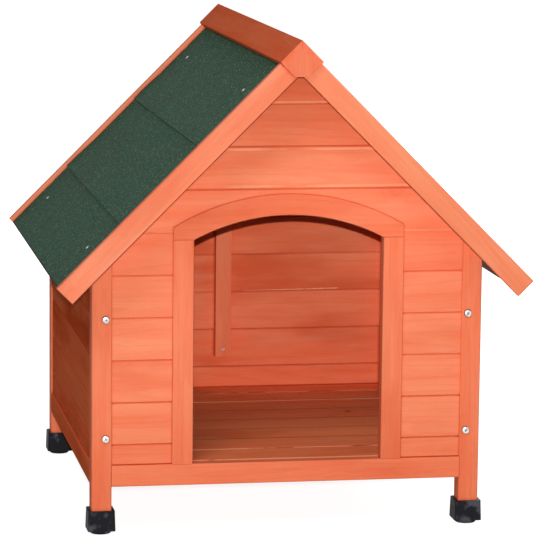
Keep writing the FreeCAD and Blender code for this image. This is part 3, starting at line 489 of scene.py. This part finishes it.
# roofing felt with slate granules of several greens, a few of which glint
feltLook = {
    "granules": 620.0,
    "dark": linear(15, 40, 25),
    "pale": linear(62, 101, 76),
    "moss": linear(41, 76, 55),
    "mossNoise": (90.0, 4.0, 0.7),  # scale, detail and roughness
    "mossRange": (0.35, 0.7),
    "worn": linear(48, 66, 50),
    "wornNoise": (9.0, 3.0),
    "wornRange": (0.42, 0.68, 0.0, 0.35),
    "clumpNoise": (330.0, 2.0, 0.6),
    "clumpRange": (0.38, 0.63, 0.42, 1.75),
    "glint": linear(150, 170, 150),
    "glintRange": (0.955, 0.985, 0.0, 0.8),
    "bald": linear(120, 128, 108),
    "baldNoise": (160.0, 2.0),
    "baldRange": (0.40, 0.56),
    "edgeReach": 0.0014,
    "edgeRange": (0.92, 0.70),
    "shadeReach": 0.003,
    "shadeRange": (0.9, 0.5, 0.0, 0.7),
    "fibre": linear(176, 156, 128),
    "frayNoise": (30.0, 5.0, 0.65),
    "frayRange": (0.56, 0.60),
    "frayWidth": 0.0055,
    # painted shade: the colour of the hollows beside the felt's edges and of the strip along the
    # eaves
    "paintedShade": linear(20, 17, 14),
    "eaveShadeWidth": 0.00185,
    "roughness": 0.85,
    "gloss": 0.15,
    "relief": 0.0007,
    "reliefStrength": 0.8,
}
rearEdge = span("felt_upper_left")[1][axisY] - feltLook["frayWidth"]
eaveLine = span("felt_lower_right")[1][axisX] - feltLook["eaveShadeWidth"]


def granuleColour(tree, place, pick):
    def patches(kind):
        return rangeOf(tree, noise(tree, place, *feltLook[kind + "Noise"]),
                       *feltLook[kind + "Range"])

    colour = blendColour(tree, pick.outputs[0], feltLook["dark"], feltLook["pale"])
    colour = blendColour(tree, patches("moss"), colour, feltLook["moss"])
    colour = blendColour(tree, patches("worn"), colour, feltLook["worn"])
    colour = scaleBy(tree, colour, patches("clump"))
    bright = rangeOf(tree, pick.outputs[1], *feltLook["glintRange"])
    return blendColour(tree, bright, colour, feltLook["glint"])


def feltEdges(tree, colour, place):  # bald cut edges, painted shade in the hollows beside the felt's edges, a frayed rear end, and a painted shade strip along the eaves
    convex = openness(tree, feltLook["edgeReach"], inside=True, only_local=True)
    hollow = openness(tree, feltLook["shadeReach"])
    bald = product(tree, rangeOf(tree, convex, *feltLook["edgeRange"]),
                   rangeOf(tree, noise(tree, place, *feltLook["baldNoise"]),
                           *feltLook["baldRange"]))
    colour = blendColour(tree, bald, colour, feltLook["bald"])
    shade = rangeOf(tree, hollow, *feltLook["shadeRange"])
    colour = blendColour(tree, shade, colour, feltLook["paintedShade"])
    frayed = product(tree, rangeOf(tree, noise(tree, place, *feltLook["frayNoise"]),
                                   *feltLook["frayRange"]),
                     maths(tree, "GREATER_THAN", component(tree, place, axisY), rearEdge))
    colour = blendColour(tree, frayed, colour, feltLook["fibre"])
    across = maths(tree, "ABSOLUTE", component(tree, place, axisX))
    return blendColour(tree, maths(tree, "GREATER_THAN", across, eaveLine), colour,
                       feltLook["paintedShade"])


def feltMaterial():
    material, tree, shader = newMaterial("mineralFelt")
    place = objectPlace(tree)
    grit = add(tree, "ShaderNodeTexVoronoi", {"Vector": place, "Scale": feltLook["granules"]})
    pick = add(tree, "ShaderNodeSeparateColor", {0: grit.outputs["Color"]})
    colour = feltEdges(tree, granuleColour(tree, place, pick), place)
    tree.links.new(colour, shader.inputs["Base Color"])
    shader.inputs["Roughness"].default_value = feltLook["roughness"]
    shader.inputs["Specular IOR Level"].default_value = feltLook["gloss"]
    height = maths(tree, "SUBTRACT", pick.outputs[2], grit.outputs["Distance"])
    bumpInto(tree, shader, height, feltLook["relief"], feltLook["reliefStrength"])
    return material


# moulded plastic, with grey patches that are partly scuffs and partly a painted reflection
plasticLook = {
    "black": linear(34, 34, 38), "scuffSheen": linear(78, 78, 86),
    "broadNoise": (45.0, 3.0), "scuffSheenRange": (0.50, 0.66), "roughRange": (0.3, 0.7, 0.45, 0.6),
    "gloss": 0.03, "fineNoise": (900.0, 3.0), "relief": 0.0002, "reliefStrength": 0.5,
}


def plasticMaterial():
    material, tree, shader = newMaterial("blackPlastic")
    place = objectPlace(tree)
    broad = noise(tree, place, *plasticLook["broadNoise"])
    scuffSheenMask = rangeOf(tree, broad, *plasticLook["scuffSheenRange"])
    tree.links.new(blendColour(tree, scuffSheenMask, plasticLook["black"], plasticLook["scuffSheen"]),
                   shader.inputs["Base Color"])
    tree.links.new(rangeOf(tree, broad, *plasticLook["roughRange"]), shader.inputs["Roughness"])
    shader.inputs["Specular IOR Level"].default_value = plasticLook["gloss"]
    bumpInto(tree, shader, noise(tree, place, *plasticLook["fineNoise"]),
             plasticLook["relief"], plasticLook["reliefStrength"])
    return material


# zinc-plated steel: clear on the heads' tops, a darker, rougher copy as painted shade at their
# rims and in the cross recesses, and on the small screws satin with a film of stain
zincLook = {
    "clear": {"bright": linear(222, 223, 223), "dim": linear(168, 170, 170),
              "rough": 0.28, "metal": 1.0},
    "shaded": {"bright": linear(140, 134, 134), "dim": linear(104, 97, 97),
             "rough": 0.5, "metal": 1.0},
    "satin": {"bright": linear(250, 196, 174), "dim": linear(214, 152, 130),
              "rough": 0.55, "metal": 0.3},
    "cloudNoise": (260.0, 4.0), "cloudRange": (0.3, 0.7), "roughSpread": 0.15,
}


def zincMaterial(name, bright, dim, rough, metal):
    material, tree, shader = newMaterial(name)
    cloud = noise(tree, objectPlace(tree), *zincLook["cloudNoise"])
    mottled = rangeOf(tree, cloud, *zincLook["cloudRange"])
    tree.links.new(blendColour(tree, mottled, bright, dim), shader.inputs["Base Color"])
    tree.links.new(rangeOf(tree, cloud, *zincLook["cloudRange"], rough,
                           rough + zincLook["roughSpread"]), shader.inputs["Roughness"])
    shader.inputs["Metallic"].default_value = metal
    return material


felt = feltMaterial()
plastic = plasticMaterial()
zinc = zincMaterial("zincSteel", **zincLook["clear"])
shadedZinc = zincMaterial("zincSteelShaded", **zincLook["shaded"])
satinZinc = zincMaterial("zincSteelSatin", **zincLook["satin"])


def materialFor(name):
    if name.startswith("felt_"):
        return felt
    if name.startswith(("leg_cap", "foot_disc")):
        return plastic
    if name.startswith(("bolts_", "roof_screws")):
        return zinc
    matches = [key for key in woodOf if name.startswith(key)]
    return woods[woodOf[max(matches, key=len)]]


for name, item in nodes.items():
    item.data.materials.clear()
    item.data.materials.append(materialFor(name))
print("materials assigned")

# bolts and screws, each with a cross recess
# slot 1 takes the shaded copy: painted shade on rims and in recesses
clearSlot, shadedSlot = 0, 1
bolt = {
    "headRadius": 0.0058, "headHeight": 0.003, "shankRadius": 0.003, "length": 0.066,
    "nutRadius": 0.0058, "nutHeight": 0.005, "grip": 0.058, "nutSides": 24,
    "heights": (0.145, 0.3245), "firstSpin": 0.35, "spinAcross": 0.8, "spinUp": 1.3,
}
bolt["acrossX"] = span("bolts_front")[1][axisX] - bolt["headRadius"]
bolt["face"] = span("post_back_left")[1][axisY]
roofScrew = {
    "headRadius": 0.0029, "headHeight": 0.0012, "shankRadius": 0.002, "length": 0.0418,
    "along": (0.103, 0.43005), "apex": 0.739, "sink": 0.007, "inset": 0.283, "spin": 0.5,
}
battenScrew = {
    "headRadius": 0.0032, "headHeight": 0.0009, "shankRadius": 0.0018, "length": 0.014,
    "above": 0.0129, "spin": 0.6,
}
# the recess as shares of the head's radius and height
crossRecess = {"arm": 0.44, "half": 0.10, "depth": 0.4, "bottom": 0.7}
# the head's rounded side, from under it to the edge of its top, as shares of radius and height,
# with its slot (painted shade on the rim)
headProfile = (
    (0.97, 0.0, shadedSlot), (1.0, 0.12, shadedSlot), (1.0, 0.4, shadedSlot), (0.94, 0.7, shadedSlot),
    (0.84, 0.92, clearSlot), (0.74, 1.0, clearSlot),
)


def ringOf(shape, turn, points):
    return [shape.verts.new(turn @ Vector(point)) for point in points]


def joinRings(shape, first, second, slot=clearSlot):
    for index in range(len(first)):
        following = (index + 1) % len(first)
        face = shape.faces.new((first[index], first[following],
                                second[following], second[index]))
        face.material_index = slot


def closeRing(shape, ring, centre, slot=clearSlot):
    for index, vertex in enumerate(ring):
        face = shape.faces.new((vertex, ring[(index + 1) % len(ring)], centre))
        face.material_index = slot


def headAngles(armHalf, armLength):  # round the head, with the corners of the recess's arms
    corner = math.atan2(armHalf, armLength)
    steps = (-eighth, -corner * 2, -corner, 0, corner, corner * 2, eighth)
    return sorted({round((arm * quarter + step) % (2 * math.pi), 6)
                   for arm in range(4) for step in steps})


def addFastener(shape, turn, look):  # head outward along Z, with its underside at the origin
    radius, height, shank = look["headRadius"], look["headHeight"], look["shankRadius"]
    armLength, armHalf = radius * crossRecess["arm"], radius * crossRecess["half"]
    tip = -look["length"]
    bottom = height - height * crossRecess["depth"]
    angles = headAngles(armHalf, armLength)

    def circle(r, z):
        return [(r * math.cos(a), r * math.sin(a), z) for a in angles]

    def cross(share, z):
        points = []
        for a in angles:
            fromArm = (a + eighth) % quarter - eighth
            reach = armLength / math.cos(fromArm)
            if abs(fromArm) > 1e-6:
                reach = min(reach, armHalf / abs(math.sin(fromArm)))
            points.append((share * reach * math.cos(a), share * reach * math.sin(a), z))
        return points

    outline = [(shank * 0.5, tip, clearSlot), (shank, tip + shank, clearSlot),
               (shank, 0, clearSlot)]
    outline += [(radius * share, height * level, slot) for share, level, slot in headProfile]
    rings = [(ringOf(shape, turn, circle(r, z)), slot) for r, z, slot in outline]
    for (first, _), (second, slot) in zip(rings, rings[1:]):
        joinRings(shape, first, second, slot)
    mouth = ringOf(shape, turn, cross(1.0, height))
    joinRings(shape, rings[-1][0], mouth)
    floor = ringOf(shape, turn, cross(crossRecess["bottom"], bottom))
    joinRings(shape, mouth, floor, shadedSlot)
    closeRing(shape, floor, shape.verts.new(turn @ Vector((0, 0, bottom))), shadedSlot)
    closeRing(shape, rings[0][0][::-1], shape.verts.new(turn @ Vector((0, 0, tip))))


def addNut(shape, turn, look):  # chamfered hexagon round the shank, standing on Z = -grip
    radius, shank, height = look["nutRadius"], look["shankRadius"], look["nutHeight"]
    chamfer = radius * 0.1

    def hexagon(limit, z):
        points = []
        for index in range(look["nutSides"]):
            a = 2 * math.pi * index / look["nutSides"]
            flat = (a + math.pi / 6) % (math.pi / 3) - math.pi / 6
            reach = min(radius * math.cos(math.pi / 6) / math.cos(flat), limit)
            points.append((reach * math.cos(a), reach * math.sin(a), z - look["grip"]))
        return points

    levels = [(shank, 0), (radius, 0), (radius, chamfer - height),
              (radius - chamfer, -height), (shank, -height)]
    rings = [ringOf(shape, turn, hexagon(limit, z)) for limit, z in levels]
    for first, second in zip(rings, rings[1:]):
        joinRings(shape, first, second)


def finishPiece(shape, name, materials, sharp=0.6):
    bmesh.ops.recalc_face_normals(shape, faces=shape.faces)
    mesh = bpy.data.meshes.new(name)
    shape.to_mesh(mesh)
    shape.free()
    for material in materials:
        mesh.materials.append(material)
    for face in mesh.polygons:
        face.use_smooth = True
    mesh.set_sharp_from_angle(angle=sharp)
    piece = bpy.data.objects.new(name, mesh)
    bpy.context.scene.collection.objects.link(piece)
    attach(piece, "house")
    return piece


def facing(place, outward, spin=0.0):  # frame at a place with its Z outward
    turn = outward.to_track_quat("Z", "Y").to_matrix().to_4x4()
    return Matrix.Translation(place) @ turn @ Matrix.Rotation(spin, 4, "Z")


def makeBolts(end, outwardY):
    shape = bmesh.new()
    for index, x in enumerate((-bolt["acrossX"], bolt["acrossX"])):
        for level, height in enumerate(bolt["heights"]):
            spin = bolt["firstSpin"] + bolt["spinAcross"] * index + bolt["spinUp"] * level
            turn = facing(Vector((x, outwardY * bolt["face"], height)),
                          Vector((0, outwardY, 0)), spin)
            addFastener(shape, turn, bolt)
            addNut(shape, turn, bolt)
    piece = finishPiece(shape, "boltsDetailed_" + end, (zinc, shadedZinc))
    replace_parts(piece, "bolts_" + end)


def makeRoofScrews():
    shape = bmesh.new()
    root = math.sqrt(0.5)  # the roof slopes at 45 degrees
    sink = roofScrew["sink"]
    for side in (-1, 1):
        for end in (-1, 1):
            for along in roofScrew["along"]:
                place = Vector((side * root * (along - sink), end * roofScrew["inset"],
                                roofScrew["apex"] - root * (along + sink)))
                turn = facing(place, Vector((side * root, 0, root)),
                              roofScrew["spin"] + 4 * along + end)
                addFastener(shape, turn, roofScrew)
    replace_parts(finishPiece(shape, "roofScrewsDetailed", (zinc, shadedZinc)), "roof_screws")


def makeBattenScrew():  # low in the middle batten of the back wall
    low, high = span("back_wall_batten")
    place = Vector(((low[axisX] + high[axisX]) / 2, low[axisY], low[axisZ] + battenScrew["above"]))
    shape = bmesh.new()
    addFastener(shape, facing(place, Vector((0, -1, 0)), battenScrew["spin"]), battenScrew)
    finishPiece(shape, "battenScrew", (satinZinc, shadedZinc))


for end, outwardY in (("front", -1), ("back", 1)):
    makeBolts(end, outwardY)
makeRoofScrews()
makeBattenScrew()

# the point of a screw that came through the back wall
screwTip = {
    "x": 0.261, "height": 0.2067, "sunk": 0.0012, "radius": 0.0017, "length": 0.0045,
    "root": -0.004, "sides": 16,
    "taper": ((1.0, 0.0), (0.8, 0.0018), (0.4, 0.0036)),  # share of the radius, and how far out
}


def makeScrewTip():
    wallFace = span("back_boards")[0][axisY]
    place = Vector((screwTip["x"], wallFace + screwTip["sunk"], screwTip["height"]))
    turn = facing(place, Vector((0, -1, 0)))
    angles = [2 * math.pi * step / screwTip["sides"] for step in range(screwTip["sides"])]
    shape = bmesh.new()
    rings = []
    for share, z in ((1.0, screwTip["root"]), *screwTip["taper"]):
        reach = screwTip["radius"] * share
        rings.append(ringOf(shape, turn, [(reach * math.cos(a), reach * math.sin(a), z)
                                          for a in angles]))
    for first, second in zip(rings, rings[1:]):
        joinRings(shape, first, second)
    for ring, z in ((rings[-1], screwTip["length"]), (rings[0][::-1], screwTip["root"])):
        closeRing(shape, ring, shape.verts.new(turn @ Vector((0, 0, z))))
    finishPiece(shape, "screwTip", (satinZinc, shadedZinc))


makeScrewTip()
print("bolts and screws made")

# stage: pale floor and white surroundings
stageLook = {
    "floorSize": 60.0,
    "floorDrop": 0.0005,
    "floorAlbedo": 0.45,
    "floorRoughness": 0.9,
    "floorLift": 0.89,
    "liftNear": 0.9,
    "liftFar": 3.2,
    "ambient": 0.05,
}


def showsStage(tree):  # 1 for camera, glossy and transmission rays
    path = add(tree, "ShaderNodeLightPath")
    shown = maths(tree, "MAXIMUM", path.outputs["Is Camera Ray"], path.outputs["Is Glossy Ray"])
    return maths(tree, "MAXIMUM", shown, path.outputs["Is Transmission Ray"])


def floorMaterial():  # lifted towards white away from the house
    material, tree, shader = newMaterial("stageFloor")
    shader.inputs["Base Color"].default_value = [stageLook["floorAlbedo"]] * 3 + [1]
    shader.inputs["Roughness"].default_value = stageLook["floorRoughness"]
    shader.inputs["Specular IOR Level"].default_value = 0.0
    away = add(tree, "ShaderNodeVectorMath", {0: objectPlace(tree)}, operation="LENGTH")
    lift = rangeOf(tree, away.outputs["Value"], stageLook["liftNear"], stageLook["liftFar"],
                   stageLook["floorLift"], 1.0)
    shader.inputs["Emission Color"].default_value = (1, 1, 1, 1)
    tree.links.new(product(tree, showsStage(tree), lift), shader.inputs["Emission Strength"])
    return material


def makeFloor():
    mesh = bpy.data.meshes.new("stageFloor")
    shape = bmesh.new()
    bmesh.ops.create_grid(shape, x_segments=2, y_segments=2, size=stageLook["floorSize"] / 2)
    shape.to_mesh(mesh)
    shape.free()
    mesh.materials.append(floorMaterial())
    floor = bpy.data.objects.new("stageFloor", mesh)
    bpy.context.scene.collection.objects.link(floor)
    floor.location.z = -stageLook["floorDrop"]


def makeWorld():
    world = bpy.data.worlds.new("studio")
    world.use_nodes = True
    bpy.context.scene.world = world
    tree = world.node_tree
    tree.nodes.clear()
    strength = rangeOf(tree, showsStage(tree), 0.0, 1.0, stageLook["ambient"], 1.0)
    background = add(tree, "ShaderNodeBackground",
                     {"Color": (1, 1, 1, 1), "Strength": strength})
    output = tree.nodes.new("ShaderNodeOutputWorld")
    tree.links.new(background.outputs[0], output.inputs[0])


makeFloor()
makeWorld()

# camera, from a fit of the house's edges to the photograph, with its angles in degrees
view = {
    "place": Vector((-0.82395, -4.77977, 1.09640)),
    "yaw": 10.067,
    "pitch": 8.768,
    "roll": 0.610,
    "focalPixels": 3096.74,
    "framePixels": 540,
    "sensor": 36.0,
    "farthest": 60.0,
}


def makeCamera():
    yaw, pitch, roll = (math.radians(view[key]) for key in ("yaw", "pitch", "roll"))
    ahead = Vector((math.sin(yaw), math.cos(yaw), 0))
    level = Vector((math.cos(yaw), -math.sin(yaw), 0))
    above = Vector((0, 0, 1))
    forward = ahead * math.cos(pitch) - above * math.sin(pitch)
    lifted = above * math.cos(pitch) + ahead * math.sin(pitch)
    right = level * math.cos(roll) + lifted * math.sin(roll)
    up = lifted * math.cos(roll) - level * math.sin(roll)
    lens = bpy.data.cameras.new("photoView")
    lens.sensor_width = view["sensor"]
    lens.lens = view["focalPixels"] / view["framePixels"] * view["sensor"]
    lens.clip_end = view["farthest"]
    camera = bpy.data.objects.new("photoView", lens)
    camera.matrix_world = Matrix.Translation(view["place"]) @ Matrix(
        (right, up, -forward)).transposed().to_4x4()
    bpy.context.scene.collection.objects.link(camera)
    bpy.context.scene.camera = camera


makeCamera()

# a small key lamp over the lens, a soft high one, and large ones for the hidden sides, all
# aimed at the middle of the house
lampAim = Vector((0, 0, 0.35))
lamps = {
    "key": {"place": view["place"] + Vector((0, 0, 0.087)), "size": 0.024, "power": 145.0},
    "high": {"place": Vector((-1.6, -3.3, 4.2)), "size": 2.4, "power": 74.0},
    "rear": {"place": Vector((1.6, 4.2, 2.4)), "size": 2.4, "power": 130.0},
    "right": {"place": Vector((4.2, 0.9, 2.2)), "size": 2.0, "power": 66.0},
}


def makeLamp(name, place, size, power):
    data = bpy.data.lights.new(name, "AREA")
    data.shape = "DISK"
    data.size = size
    data.energy = power
    lamp = bpy.data.objects.new(name, data)
    turn = (lampAim - place).to_track_quat("-Z", "Y").to_matrix().to_4x4()
    lamp.matrix_world = Matrix.Translation(place) @ turn
    bpy.context.scene.collection.objects.link(lamp)


for name, lamp in lamps.items():
    makeLamp(name + "Lamp", **lamp)
bpy.context.scene.view_settings.view_transform = "Standard"
print("stage, camera and lamps made")
